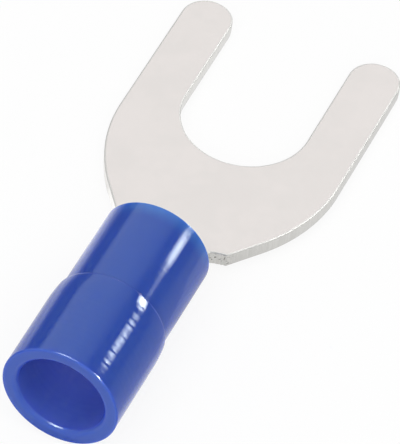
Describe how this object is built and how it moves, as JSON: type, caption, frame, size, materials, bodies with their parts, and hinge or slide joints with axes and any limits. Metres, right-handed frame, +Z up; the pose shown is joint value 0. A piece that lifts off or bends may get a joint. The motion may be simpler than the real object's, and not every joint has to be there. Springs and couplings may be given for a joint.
{
  "type": "insulated fork terminal",
  "caption": "Fork-tongue crimp terminal of tinned sheet metal with a rolled wire barrel in a stepped blue insulating sleeve, for a cable end under a screw.",
  "frame": {"origin": "centre of the slot's round end, on the underside of the tongue", "axes": "+Y towards the tine tips, +X to the right, +Z up through the slot, square to the tongue"},
  "size_m": [0.0118, 0.0282, 0.0059],
  "materials": {
    "tinned_metal": "satin tin plating on copper sheet",
    "blue_plastic": "smooth glossy moulded plastic, slightly translucent"
  },
  "bodies": {
    "root": {"fork_terminal": "tinned_metal", "insulating_sleeve": "blue_plastic"}
  },
  "joints": []
}
